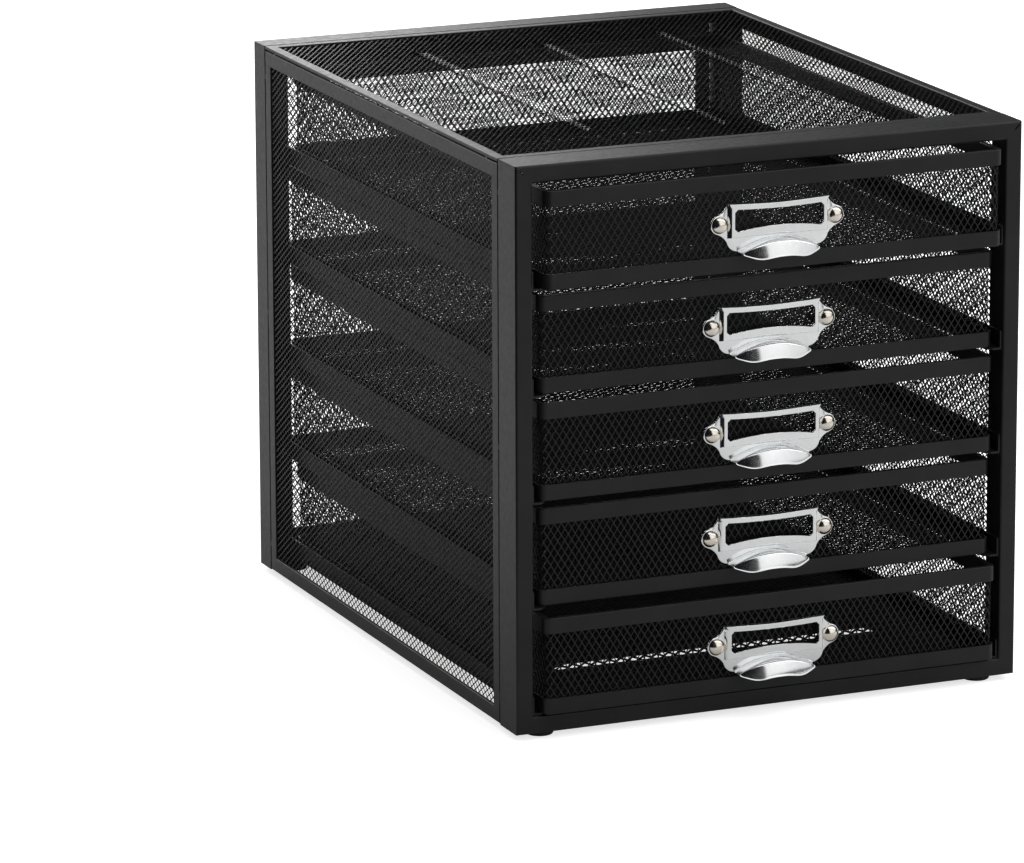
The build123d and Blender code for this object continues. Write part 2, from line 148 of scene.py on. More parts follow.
def newMaterial(name):
    material = bpy.data.materials.new(name)
    material.use_nodes = True
    nodes = material.node_tree.nodes
    return material, nodes, material.node_tree.links, nodes["Principled BSDF"]


def noiseOf(nodes, links, scale, detail=3.0):
    # Cloud noise in the object's own coordinates, in metres
    place = nodes.new("ShaderNodeTexCoord")
    noise = nodes.new("ShaderNodeTexNoise")
    noise.inputs["Scale"].default_value = scale
    noise.inputs["Detail"].default_value = detail
    links.new(place.outputs["Object"], noise.inputs["Vector"])
    return noise.outputs["Fac"]


def between(nodes, links, value, low, high):
    # Spreads a noise's middle part evenly from low to high
    spread = nodes.new("ShaderNodeMapRange")
    spread.inputs["From Min"].default_value = noiseMiddle[0]
    spread.inputs["From Max"].default_value = noiseMiddle[1]
    spread.inputs["To Min"].default_value = low
    spread.inputs["To Max"].default_value = high
    links.new(value, spread.inputs["Value"])
    return spread.outputs["Result"]


def tinted(nodes, links, value, colour, dark, light):
    # The colour, a little darker or lighter as the noise goes
    ramp = nodes.new("ShaderNodeValToRGB")
    for stop, position, share in zip(ramp.color_ramp.elements, noiseMiddle, (dark, light)):
        stop.position = position
        stop.color = [c * share for c in colour] + [1.0]
    links.new(value, ramp.inputs["Fac"])
    return ramp.outputs["Color"]


def bumped(nodes, links, value, height, shader):
    # The noise raises the surface by up to the height
    bump = nodes.new("ShaderNodeBump")
    bump.inputs["Strength"].default_value = 1.0
    bump.inputs["Distance"].default_value = height
    links.new(value, bump.inputs["Height"])
    links.new(bump.outputs["Normal"], shader.inputs["Normal"])


def powderCoated(name, colour, roughness, gloss, peel):
    # Satin black powder: orange peel in the bump, broad clouds in the tone, finer ones in the gloss
    material, nodes, links, shader = newMaterial(name)
    clouds = noiseOf(nodes, links, powderCoat["cloudScale"])
    tone = tinted(nodes, links, clouds, colour, *powderCoat["cloudTone"])
    links.new(tone, shader.inputs["Base Color"])
    grain = noiseOf(nodes, links, powderCoat["grainScale"])
    links.new(between(nodes, links, grain, *roughness), shader.inputs["Roughness"])
    shader.inputs["Specular IOR Level"].default_value = gloss
    bumps = noiseOf(nodes, links, powderCoat["peelScale"], powderCoat["peelDetail"])
    bumped(nodes, links, bumps, peel, shader)
    return material


def plated(name, colour, roughness):
    # Plated sheet: soft waves from stamping in the bump, fine smears in tone and gloss
    material, nodes, links, shader = newMaterial(name)
    shader.inputs["Metallic"].default_value = 1.0
    smears = noiseOf(nodes, links, brightPlate["smearScale"], brightPlate["smearDetail"])
    tone = tinted(nodes, links, smears, colour, *brightPlate["smearTone"])
    links.new(tone, shader.inputs["Base Color"])
    links.new(between(nodes, links, smears, *roughness), shader.inputs["Roughness"])
    waves = noiseOf(nodes, links, brightPlate["waveScale"], brightPlate["waveDetail"])
    bumped(nodes, links, waves, brightPlate["waveHeight"], shader)
    return material


def rubber(name):
    # Matt rubber: one fine grain in tone, gloss and bump
    material, nodes, links, shader = newMaterial(name)
    grain = noiseOf(nodes, links, footRubber["grainScale"])
    tone = tinted(nodes, links, grain, footRubber["colour"], *footRubber["tone"])
    links.new(tone, shader.inputs["Base Color"])
    links.new(between(nodes, links, grain, *footRubber["roughness"]), shader.inputs["Roughness"])
    bumped(nodes, links, grain, footRubber["grainHeight"], shader)
    return material


def coatOf(name, colour, roughness, gloss, peel):
    # A powder coat from the named entries, as plateOf makes a plating
    return powderCoated(name, *(powderCoat[key] for key in (colour, roughness, gloss, peel)))


def plateOf(name, colour, roughness):
    return plated(name, brightPlate[colour], brightPlate[roughness])


# Made in this order; the drawers' floors are coated a little duller than the other nets
finishes = {
    "black_steel": coatOf("blackSteel", "steelColour", "steelRoughness", "steelGloss",
                          "peelHeight"),
    "black_mesh": coatOf("blackMesh", "meshColour", "meshRoughness", "meshGloss",
                         "meshPeelHeight"),
    "black_mesh_inside": coatOf("blackMeshInside", "meshColour", "floorRoughness", "floorGloss",
                                "meshPeelHeight"),
    "pull_chrome": plateOf("pullChrome", "chromeColour", "chromeRoughness"),
    "rivet_nickel": plateOf("rivetNickel", "nickelColour", "nickelRoughness"),
    "foot_rubber": rubber("footRubber"),
}
print("finishes made")


# Points are told apart on a grid with this many steps to the millimetre
weldGrid = 1e4


def welded(points, quads):
    # Points at one place become one point, and a quad that loses a side becomes a triangle
    keys = np.round(points * weldGrid).astype(np.int64)
    _, first, same = np.unique(keys, axis=0, return_index=True, return_inverse=True)
    quads = same.reshape(-1)[quads]
    repeated = quads == np.roll(quads, -1, axis=1)
    clipped = repeated.sum(axis=1) == 1
    triangles = quads[clipped][~repeated[clipped]].reshape(-1, 3)
    return points[first], quads[repeated.sum(axis=1) == 0], triangles


def makePiece(name, points, quads, body, slotName, replaced,
              smoothBelow=None, triangles=None, finish=None):
    # Points in millimetres; faces as rows of point numbers, turned outwards. Edges that bend
    # less than smoothBelow degrees are shaded smooth, and without it the piece is flat-shaded.
    if triangles is None:
        triangles = np.zeros((0, 3), dtype=np.int64)
    mesh = bpy.data.meshes.new(name)
    mesh.vertices.add(len(points))
    mesh.vertices.foreach_set("co", (points * millimetre).astype(np.float32).ravel())
    corners = np.concatenate([quads.ravel(), triangles.ravel()]).astype(np.int32)
    starts = np.concatenate(
        [np.arange(len(quads)) * 4, len(quads) * 4 + np.arange(len(triangles)) * 3]
    ).astype(np.int32)
    mesh.loops.add(len(corners))
    mesh.loops.foreach_set("vertex_index", corners)
    mesh.polygons.add(len(starts))
    mesh.polygons.foreach_set("loop_start", starts)
    mesh.update(calc_edges=True)
    mesh.validate()
    smooth = np.full(len(mesh.polygons), smoothBelow is not None)
    mesh.polygons.foreach_set("use_smooth", smooth)
    if smoothBelow is not None:
        mesh.set_sharp_from_angle(angle=np.radians(smoothBelow))
    mesh.materials.append(finishes[finish or slotName])
    piece = bpy.data.objects.new(name, mesh)
    bpy.context.scene.collection.objects.link(piece)
    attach(piece, body)
    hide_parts(replaced)


# Expanded metal, sizes in millimetres. Long and short are the diamond's two ways, and tilt is
# how far each strand is turned about the long way in degrees. Hidden is how far the net runs
# under its edging, plane where its sheet stands, and inset how far it lies inside the rim.
# Corner is the wall's corner radius; low, high and rise are heights over the bottom rim's foot.
sheetThick = 0.3
sideNet = {"long": 5.05, "short": 3.5, "strand": 0.62, "tilt": 26, "hidden": 0.3, "plane": 136.7}
topNet = {"long": 5.2, "short": 3.48, "strand": 0.6, "tilt": 17, "hidden": 0.3, "plane": 289.2}
rearNet = {"long": 5.05, "short": 3.5, "strand": 0.68, "tilt": 40, "hidden": 0.3, "plane": 183.6}
wallNet = {"long": 6.0, "short": 3.77, "strand": 0.52, "tilt": 15, "inset": 1.45, "corner": 2.55,
           "low": 1.9, "high": 43.9}
floorNet = {"long": 7.6, "short": 4.8, "strand": 0.76, "tilt": 45, "inset": 1.65, "rise": 1.4}
middleFloorNet = {**floorNet, "strand": 0.9}
lowestFloorNet = {**floorNet, "long": 6.6, "short": 4.1, "strand": 1.1, "tilt": 40}


def lattice(spanLong, spanShort, net, closed=False):
    # Crossings stand in a staggered grid of half diamonds. Each is a lozenge turned about the
    # long way, and flat strands join its sides to the next ones up and down the short way; the
    # same points one sheet lower make the back, and strips close the gaps' sides. A closed
    # lattice joins its last crossings to its first round the short way.
    countLong = max(2, round(2 * spanLong / net["long"]))
    countShort = max(2, round(2 * spanShort / net["short"]))
    if closed:
        countShort += countShort % 2
    stepLong, stepShort = spanLong / countLong, spanShort / countShort
    rows = np.arange(countShort + (not closed))
    p, q = np.meshgrid(np.arange(countLong + 1), rows, indexing="ij")
    there = (p + q) % 2 == 0
    number = np.full(p.shape, -1)
    number[there] = np.arange(there.sum())
    tilt = np.radians(net["tilt"])
    half = net["strand"] / 2 / np.cos(np.arctan2(stepShort, stepLong))
    halfShort, tip = half * np.cos(tilt), half * np.sin(tilt)
    halfLong = halfShort * stepLong / stepShort
    lozenge = np.array([
        [-halfLong, 0, 0], [0, -halfShort, -tip], [halfLong, 0, 0], [0, halfShort, tip],
    ])
    flat = np.zeros(there.sum())
    middles = np.stack([p[there] * stepLong, q[there] * stepShort, flat], axis=1)
    front = (middles[:, None, :] + lozenge[None]).reshape(-1, 3)

    def neighbour(way):
        # The crossing one step along and one step up or down, or -1 past the edge
        alongP, alongQ = p[there] + 1, q[there] + way
        if closed:
            alongQ = alongQ % countShort
        inside = (alongP <= countLong) & (alongQ >= 0) & (alongQ < p.shape[1])
        found = number[np.where(inside, alongP, 0), np.where(inside, alongQ, 0)]
        return np.where(inside, found, -1)

    here = np.arange(there.sum())
    west, south, east, north = 0, 1, 2, 3
    faces = [here[:, None] * 4 + np.array([west, south, east, north])]
    for way, corners in ((1, (east, south, west, north)), (-1, (south, west, north, east))):
        other = neighbour(way)
        joined = other >= 0
        start, end = here[joined] * 4, other[joined] * 4
        strand = [start + corners[0], end + corners[1], end + corners[2], start + corners[3]]
        faces.append(np.stack(strand, axis=1))
    faces = np.concatenate(faces)
    edges = np.stack([faces, np.roll(faces, -1, axis=1)], axis=2).reshape(-1, 2)
    keys = edges.min(axis=1) * len(front) + edges.max(axis=1)
    _, first, times = np.unique(keys, return_index=True, return_counts=True)
    rim = edges[first[times == 1]]
    back = len(front)
    sides = np.stack([rim[:, 1], rim[:, 0], rim[:, 0] + back, rim[:, 1] + back], axis=1)
    skin = sheetThick / 2 * np.array([0, -np.sin(tilt), np.cos(tilt)])
    points = np.concatenate([front + skin, front - skin])
    return points, np.concatenate([faces, faces[:, ::-1] + back, sides])


def flatNet(name, node, body, net, origin, longWay, shortWay, spans, shape=None, finish=None):
    # Lays a lattice on a plane: along the long way, the short way and out of the sheet
    points, quads = lattice(spans[0], spans[1], net)
    outward = np.cross(longWay, shortWay)
    placed = origin + points @ np.array([longWay, shortWay, outward], dtype=float)
    if shape is not None:
        placed = shape(placed)
    makePiece(name, placed, quads, body, "black_mesh", node, finish=finish)


def makeSidePanels():
    # The same flat lattice at both sides, facing outwards, with its long way level
    low, high = nodeBox("left_panel_mesh")
    low, high = low - sideNet["hidden"], high + sideNet["hidden"]
    spans = (high[1] - low[1], high[2] - low[2])
    flatNet("left_panel_net", "left_panel_mesh", "cabinet", sideNet,
            np.array([-sideNet["plane"], high[1], low[2]]), (0, -1, 0), (0, 0, 1), spans)
    flatNet("right_panel_net", "right_panel_mesh", "cabinet", sideNet,
            np.array([sideNet["plane"], low[1], low[2]]), (0, 1, 0), (0, 0, 1), spans)


# Three long beads are pressed down into the top sheet; each row is middle x, front y, back y
topBeads = {
    "lines": ((-68.75, -100.0, 125.0), (0.0, -114.0, 120.0), (68.75, -101.0, 125.0)),
    "width": 9.0,
    "depth": 0.8,
}


def pressedBeads(points):
    # Depth falls as a cosine from each bead's middle line to nothing at half its width
    sunk = points.copy()
    radius = topBeads["width"] / 2
    for x, near, far in topBeads["lines"]:
        along = np.clip(points[:, 1], near + radius, far - radius)
        away = np.hypot(points[:, 0] - x, points[:, 1] - along)
        share = np.clip(away / radius, 0, 1)
        sunk[:, 2] -= topBeads["depth"] * (1 + np.cos(np.pi * share)) / 2
    return sunk


def makeTopPanel():
    # One flat lattice with its long way from front to back, pressed down along the beads
    low, high = nodeBox("top_panel_mesh")
    low, high = low - topNet["hidden"], high + topNet["hidden"]
    flatNet("top_panel_net", "top_panel_mesh", "cabinet", topNet,
            np.array([high[0], low[1], topNet["plane"]]), (0, 1, 0), (-1, 0, 0),
            (high[1] - low[1], high[0] - low[0]), pressedBeads)


def makeRearPanel():
    # One flat lattice with its long way upright
    low, high = nodeBox("rear_panel_mesh")
    low, high = low - rearNet["hidden"], high + rearNet["hidden"]
    flatNet("rear_panel_net", "rear_panel_mesh", "cabinet", rearNet,
            np.array([low[0], rearNet["plane"], low[2]]), (0, 0, 1), (1, 0, 0),
            (high[2] - low[2], high[0] - low[0]))


def roundTrack(length, low, high, corner):
    # Walks a rounded rectangle from its front right end: straight runs left, back, right
    # and forward with a quarter arc after each; gives the place and the outward direction
    width, depth = high[0] - low[0] - 2 * corner, high[1] - low[1] - 2 * corner
    arc = np.pi / 2 * corner
    ways = np.array([[-1, 0], [0, 1], [1, 0], [0, -1]])
    place = np.tile([high[0] - corner, low[1]], (len(length), 1)).astype(float)
    heading = np.zeros(len(length))
    passed = 0.0
    for way, nextWay, run in zip(ways, np.roll(ways, -1, axis=0), (width, depth, width, depth)):
        gone = np.clip(length - passed, 0, run)
        place += gone[:, None] * way
        passed += run
        bend = np.clip((length - passed) / corner, 0, np.pi / 2)
        sideways, onwards = (1 - np.cos(bend))[:, None] * nextWay, np.sin(bend)[:, None] * way
        place += corner * (onwards + sideways)
        heading += bend
        passed += arc
    outward = np.stack([-np.sin(heading), -np.cos(heading)], axis=1)
    return place, outward


def makeDrawerWall(number):
    # A closed lattice: its long way goes up, its short way round the track, and what stands out
    # of the sheet goes outwards
    node = "drawer_%d_wall_mesh" % number
    body = "drawer_%d" % number
    low, high = nodeBox("drawer_%d_bottom_rim" % number)
    inner, outer = low + wallNet["inset"], high - wallNet["inset"]
    corner = wallNet["corner"]
    straight = 2 * (outer[0] - inner[0] + outer[1] - inner[1] - 4 * corner)
    around = straight + 2 * np.pi * corner
    points, quads = lattice(wallNet["high"] - wallNet["low"], around, wallNet, closed=True)
    place, outward = roundTrack(points[:, 1] % around, inner, outer, corner)
    level = place + outward * points[:, 2:3]
    height = points[:, 0:1] + low[2] + wallNet["low"]
    name = "drawer_%d_wall_net" % number
    makePiece(name, np.hstack([level, height]), quads, body, "black_mesh", node)


# Each drawer's floor, from the highest to the lowest
floorNets = [floorNet, floorNet, middleFloorNet, middleFloorNet, lowestFloorNet]

# One low bead is pressed up across the lowest drawer's floor, this far behind its front edge
floorBead = {"behind": 69.0, "half": 85.0, "width": 8.5, "height": 2.0}


def makeDrawerFloor(number):
    # A flat lattice with its long way across, inside the bottom rim
    net = floorNets[drawerNumbers.index(number)]
    low, high = nodeBox("drawer_%d_bottom_rim" % number)
    inner, outer = low + net["inset"], high - net["inset"]

    def raised(points):
        # The bead rises as a cosine from nothing at half its width to its middle line
        radius = floorBead["width"] / 2
        along = np.clip(points[:, 0], -floorBead["half"], floorBead["half"])
        away = np.hypot(points[:, 0] - along, points[:, 1] - inner[1] - floorBead["behind"])
        lift = floorBead["height"] * (1 + np.cos(np.pi * np.clip(away / radius, 0, 1))) / 2
        return points + lift[:, None] * [0, 0, 1]

    flatNet("drawer_%d_floor_net" % number, "drawer_%d_floor_mesh" % number, "drawer_%d" % number,
            net, np.array([inner[0], inner[1], low[2] + net["rise"]]), (1, 0, 0), (0, 1, 0),
            (outer[0] - inner[0], outer[1] - inner[1]), raised if net is lowestFloorNet else None,
            "black_mesh_inside")


makeSidePanels()
makeTopPanel()
makeRearPanel()
for number in drawerNumbers:
    makeDrawerWall(number)
    makeDrawerFloor(number)
print("expanded metal woven")


# Label pull, in millimetres from the middle of its rivets: x to the right, z up, and
# forward from the drawer's wall. Each outline is its right half, from the top round to the foot.
# A hollow is where an arc's middle lies from the corner beside it, and points are how many each
# run of an outline has. The rows of edgeRows to windowRows follow the plate's section: how far
# from an edge, for the outer edge also how many times its softness inwards, and how far forward,
# or for browRows and windowRows how far behind the label frame's face. The frame's slope grows
# in over slopeFade's margin, from its share of the whole.
labelPull = {
    "centre": (0.0, 1.8),
    "directions": 61,
    "smoothBelow": 32,
    "drop": 0.3,
    "wallInset": 0.9,
    "rivets": 31.3,
    "earRadius": 4.9,
    "earThroat": 4.7,
    "labelHalf": 27.2,
    "labelSlope": 1.3,
    "labelTop": 10.6,
    "labelDip": 0.9,
    "labelFoot": -6.9,
    "windowHalf": 24.1,
    "windowTop": 7.6,
    "windowDip": 0.7,
    "windowFoot": -3.75,
    "windowArch": 2.0,
    "windowCorner": 1.6,
    "sheet": 0.8,
    "rise": 2.4,
    "throatHollow": (2.2, -4.0),
    "shoulderOut": 0.2,
    "shoulderLow": -9.2,
    "shoulderHollow": (2.0, -2.0),
    "hipHollow": (-1.6, -2.9),
    "corner": (21.8, -13.9),
    "base": -16.0,
    "baseHalf": 18.4,
    "platePoints": (16, 14, 26, 12, 10, 5, 14),
    "labelPoints": 24,
    "windowPoints": (24, 5, 20, 5, 24),
    "edgeSoft": 0.45,
    "slopeFade": (0.5, 0.1),
    "edgeRows": ((-0.08, 0.0, 0.0), (0.0, 0.0, 0.08), (0.0, 0.0, 0.42), (0.0, 0.12, 0.58),
                 (0.0, 0.45, 0.72), (0.0, 1.0, 0.79)),
    "footRows": ((0.55, 0.8), (0.2, 0.81), (0.0, 0.92)),
    "slopeRow": (0.85, 0.3),
    "browRows": ((0.1, 0.07), (0.3, 0.0), (0.55, 0.0)),
    "windowRows": ((0.4, 0.0), (0.2, 0.0), (0.05, 0.08), (0.0, 0.25)),
    "windowBack": 0.1,
    "pocketSlope": 0.9,
    "cupColumns": 97,
    "cupTopRows": 16,
    "cupFaceRows": 29,
    "cupTopStart": 0.04,
    "cupFaceCrowding": 1.5,
    "cupHalf": 21.5,
    "cupTaper": 0.8,
    "cupFoot": -14.1,
    "cupHigh": 5.8,
    "cupReach": 11.28,
    "cupEndReach": 5.9,
    "cupWall": 0.9,
    "cupInnerRoot": 0.3,
    "cupPower": 14.0,
    "cupLean": (0.16, 0.08),
    "lipEnd": 0.5,
    "lipMiddle": 1.8,
    "lipWave": 1.3,
    "lipPower": 1.3,
    "lipRound": 8,
    "lipFlare": 0.22,
    "lipFlareHeight": 0.75,
    "ridge": ((0.2, 0.78, 0.5), (0.2, 0.76, 0.8), (0.16, 0.68, 1.08), (0.1, 0.5, 1.26),
              (0.04, 0.28, 1.24), (0.0, 0.08, 1.08), (0.0, 0.0, 1.2)),
    "lipSteps": ((0.12, 0.1), (0.38, 0.16), (0.62, 0.16), (0.88, 0.1)),
}


def arcThrough(a, b, c, count):
    # Points on the circle through three points, from the first towards the last
    (ax, ay), (bx, by), (cx, cy) = a, b, c
    aa, bb, cc = ax ** 2 + ay ** 2, bx ** 2 + by ** 2, cx ** 2 + cy ** 2
    d = 2 * (ax * (by - cy) + bx * (cy - ay) + cx * (ay - by))
    ux = (aa * (by - cy) + bb * (cy - ay) + cc * (ay - by)) / d
    uy = (aa * (cx - bx) + bb * (ax - cx) + cc * (bx - ax)) / d
    start, middle, end = (np.arctan2(y - uy, x - ux) for x, y in (a, b, c))
    turn = (end - start) % (2 * np.pi)
    if (middle - start) % (2 * np.pi) > turn:
        turn -= 2 * np.pi
    angle = start + turn * np.linspace(0, 1, count, endpoint=False)
    radius = np.hypot(ax - ux, ay - uy)
    return np.stack([ux + radius * np.cos(angle), uy + radius * np.sin(angle)], axis=1)


def straightTo(a, b, count):
    return np.linspace(a, b, count, endpoint=False)


def halfway(half, edge, deep):
    # A point half way out on a shallow arc that is this deep in the middle and nothing at its
    # end: three quarters of the depth are left there, as on a parabola
    return (half / 2, edge + 0.75 * deep)


def plateOutline():
    # A shallow arc along the top, a hollow down to the ear, the ear's circle round the rivet,
    # hollows over shoulder and hip, a cut corner and the straight foot
    pull = labelPull
    ear, throat = pull["rivets"], pull["earThroat"]
    half, top, dip = pull["labelHalf"], pull["labelTop"], pull["labelDip"]
    throatX = ear + (pull["earRadius"] ** 2 - throat ** 2) ** 0.5
    shoulder, low = half + pull["shoulderOut"], pull["shoulderLow"]
    corner, base = pull["corner"], pull["base"]
    (neckX, neckZ), (armX, armZ) = pull["throatHollow"], pull["shoulderHollow"]
    hipX, hipZ = pull["hipHollow"]
    neck, arm = (half + neckX, top + neckZ), (shoulder + armX, -throat + armZ)
    hip = (shoulder + hipX, low + hipZ)
    count = pull["platePoints"]
    return np.concatenate([
        arcThrough((0, top - dip), halfway(half, top, -dip), (half, top), count[0]),
        arcThrough((half, top), neck, (throatX, throat), count[1]),
        arcThrough((throatX, throat), (ear + pull["earRadius"], 0), (throatX, -throat), count[2]),
        arcThrough((throatX, -throat), arm, (shoulder, low), count[3]),
        arcThrough((shoulder, low), hip, corner, count[4]),
        straightTo(corner, (pull["baseHalf"], base), count[5]),
        straightTo((pull["baseHalf"], base), (0, base), count[6]),
        [(0, base)],
    ])


def labelOutline():
    # The same shallow arc along the top, then straight down and straight back to the middle
    pull = labelPull
    half, top, foot = pull["labelHalf"], pull["labelTop"], pull["labelFoot"]
    dip, count = pull["labelDip"], pull["labelPoints"]
    return np.concatenate([
        arcThrough((0, top - dip), halfway(half, top, -dip), (half, top), count),
        straightTo((half, top), (half, foot), count),
        straightTo((half, foot), (0, foot), count),
        [(0, foot)],
    ])


def windowOutline():
    # A shallow arc along the top, a straight side between two cut corners, an arch at the foot
    pull = labelPull
    half, cut = pull["windowHalf"], pull["windowCorner"]
    top, foot = pull["windowTop"], pull["windowFoot"]
    dip, arch, count = pull["windowDip"], pull["windowArch"], pull["windowPoints"]
    return np.concatenate([
        arcThrough((0, top - dip), halfway(half, top, -dip), (half - cut, top), count[0]),
        straightTo((half - cut, top), (half, top - cut), count[1]),
        straightTo((half, top - cut), (half, foot + cut), count[2]),
        straightTo((half, foot + cut), (half - cut, foot), count[3]),
        arcThrough((half - cut, foot), halfway(half, foot, arch), (0, foot + arch), count[4]),
        [(0, foot + arch)],
    ])


def reachAt(outline, angles, centre):
    # How far an outline lies from the centre in each direction of its right half
    bearing = np.arctan2(outline[:, 1] - centre[1], outline[:, 0] - centre[0])
    far = np.hypot(outline[:, 0] - centre[0], outline[:, 1] - centre[1])
    order = np.argsort(bearing)
    return np.interp(angles, bearing[order], far[order])


def fineAlong(outline, step=0.12):
    # The same outline with points close together, so that reaches between corners are true
    gone = np.concatenate([[0], np.cumsum(np.hypot(*np.diff(outline, axis=0).T))])
    at = np.linspace(0, gone[-1], int(gone[-1] / step) + 2)
    return np.stack([np.interp(at, gone, outline[:, k]) for k in (0, 1)], axis=1)


def ringFaces(rows, columns):
    # Quads between successive closed rows of points, the last row joined to the first
    row, column = np.meshgrid(np.arange(rows), np.arange(columns), indexing="ij")
    nextRow, nextColumn = (row + 1) % rows, (column + 1) % columns
    corners = [row * columns + column, row * columns + nextColumn,
               nextRow * columns + nextColumn, nextRow * columns + column]
    return np.stack(corners, axis=2).reshape(-1, 4)


def pullPlate():
    # Every outline is read as a reach from one centre in the window, in the same directions,
    # and the section runs from the back's edge over the plate, the label frame and the
    # window's edge to the pocket behind it
    pull = labelPull
    centre = pull["centre"]
    plate, label, window = plateOutline(), labelOutline(), windowOutline()
    labelCorners = label[np.arange(1, 3) * pull["labelPoints"]]
    windowCorners = window[np.cumsum(pull["windowPoints"][:-1])]
    corners = np.concatenate([plate, labelCorners, windowCorners])
    bearings = np.arctan2(corners[:, 1] - centre[1], corners[:, 0] - centre[0])
    half = np.concatenate([bearings, np.linspace(-np.pi / 2, np.pi / 2, pull["directions"])])
    half = np.unique(np.round(half, 4))[::-1]
    edge = reachAt(fineAlong(plate), half, centre)
    frameEdge = reachAt(fineAlong(label), half, centre)
    opening = reachAt(fineAlong(window), half, centre)
    rise, back = pull["rise"], pull["windowBack"]
    high = rise + pull["sheet"]
    soft = np.clip(edge - frameEdge, 0, pull["edgeSoft"])
    foot = np.minimum(frameEdge, edge - soft)
    fadeOver, fadeFrom = pull["slopeFade"]
    slope = pull["labelSlope"] * np.clip((edge - foot) / fadeOver + fadeFrom, 0, 1)
    brow = foot - slope
    pocket = foot - pull["sheet"]
    steep, under = pull["slopeRow"]
    section = [
        *((edge + out - times * soft, forward) for out, times, forward in pull["edgeRows"]),
        *((np.minimum(foot + out, edge - soft), forward) for out, forward in pull["footRows"]),
        (foot - steep * slope, high - under),
        *((brow - inwards, high - below) for inwards, below in pull["browRows"]),
        *((opening + out, high - below) for out, below in pull["windowRows"]),
        (opening, rise + back),
        (opening + back, rise),
        (pocket - pull["pocketSlope"] * slope, rise),
        (pocket, 0.0),
    ]
    reach = np.array([r for r, _ in section])
    forward = np.array([f for _, f in section])
    x = centre[0] + reach * np.cos(half)
    z = centre[1] + reach * np.sin(half)
    loopX = np.hstack([x, -x[:, ::-1][:, 1:-1]])
    loopZ = np.hstack([z, z[:, ::-1][:, 1:-1]])
    loopF = np.repeat(forward[:, None], loopX.shape[1], axis=1)
    points = np.stack([loopX, loopZ, loopF], axis=2).reshape(-1, 3)
    return points, ringFaces(*loopX.shape)[:, ::-1]


def lipFall(across):
    # Under the cup's foot: one depth at the ends, rounded like a high power's circle into another
    # in the middle, with a wave between them of sine squared of a power of the share across
    pull = labelPull
    share = np.abs(across)
    wave = pull["lipWave"] * np.sin(np.pi * share ** pull["lipPower"]) ** 2
    deeper = pull["lipMiddle"] - pull["lipEnd"] + wave
    return pull["lipEnd"] + np.sqrt(1 - share ** pull["lipRound"]) * deeper


def cupShell():
    # Columns go across the cup; its top follows a parabola over the foot and its reach another.
    # The section runs from the ridge on the plate along a level top and down a face that leans
    # back and flares at the lip: a high power of the share onwards and the same power of the share
    # above the lip add up to one, which makes the bend between top and face tight. Then it turns
    # under the lip and comes back a wall's thickness inside.
    pull = labelPull
    across = np.sin(np.pi / 2 * np.linspace(-1, 1, pull["cupColumns"]))
    bow = 1 - across ** 2
    power = pull["cupPower"]
    bend = 0.5 ** (1 / power)
    top = bend * np.sin(np.pi / 2 * np.linspace(pull["cupTopStart"], 1, pull["cupTopRows"]))
    down = np.linspace(0, 1, pull["cupFaceRows"] + 1)[1:]
    face = bend * (1 - down ** pull["cupFaceCrowding"])
    onwards = np.concatenate([top, (1 - face ** power) ** (1 / power)])
    above = np.concatenate([(1 - top ** power) ** (1 / power), face])
    ridge = np.array(pull["ridge"])

    def shell(inset, grown, lifted, forward):
        high = pull["cupHigh"] * bow[:, None] - inset
        fall = high + lipFall(across)[:, None]
        further = pull["cupReach"] - pull["cupEndReach"]
        reach = pull["cupEndReach"] + further * bow[:, None] - inset
        lean = fall * (pull["cupLean"][0] * above + pull["cupLean"][1] * above ** 2)
        flare = pull["lipFlare"] * np.clip(1 - fall * above / pull["lipFlareHeight"], 0, 1) ** 2
        face = forward[-1] + (reach - lean + flare - forward[-1]) * onwards
        root = np.tile(forward, (len(across), 1))
        halfWidth = [pull["cupHalf"] + grown, pull["cupHalf"] - pull["cupTaper"] * onwards]
        x = across[:, None] * np.concatenate(halfWidth)
        z = pull["cupFoot"] + np.hstack([high + lifted, high - fall * (1 - above)])
        return np.stack([x, z, np.hstack([root, face])], axis=2)

    flat = np.zeros(len(ridge))
    outer = shell(0.0, ridge[:, 0], ridge[:, 1], ridge[:, 2])
    inner = shell(pull["cupWall"], flat, flat, flat + pull["cupInnerRoot"])
    lip = [outer[:, -1] * (1 - share) + inner[:, -1] * share - [0, drop, 0]
           for share, drop in pull["lipSteps"]]
    ring = np.concatenate([outer, np.stack(lip, axis=1), inner[:, ::-1]], axis=1)
    columns, rows = ring.shape[:2]
    column, row = np.meshgrid(np.arange(columns - 1), np.arange(rows), indexing="ij")
    onward = (row + 1) % rows
    corners = [column * rows + row, column * rows + onward,
               (column + 1) * rows + onward, (column + 1) * rows + row]
    quads = np.stack(corners, axis=2).reshape(-1, 4)
    one = np.arange(rows // 2)
    cap = np.stack([one[:-1], rows - 1 - one[:-1], rows - 1 - one[1:], one[1:]], axis=1)
    return ring.reshape(-1, 3), np.concatenate([quads, cap, cap[:, ::-1] + (columns - 1) * rows])


def stoodOnDrawer(points, number):
    # From x, up, forward on the pull to the frame's own x, y, z
    low = nodeBox("drawer_%d_bottom_rim" % number)[0]
    top = nodeBox("drawer_%d_top_rim" % number)[1][2]
    middle = (low[2] + top) / 2 - labelPull["drop"]
    wall = low[1] + labelPull["wallInset"]
    return np.stack([points[:, 0], wall - points[:, 2], points[:, 1] + middle], axis=1)


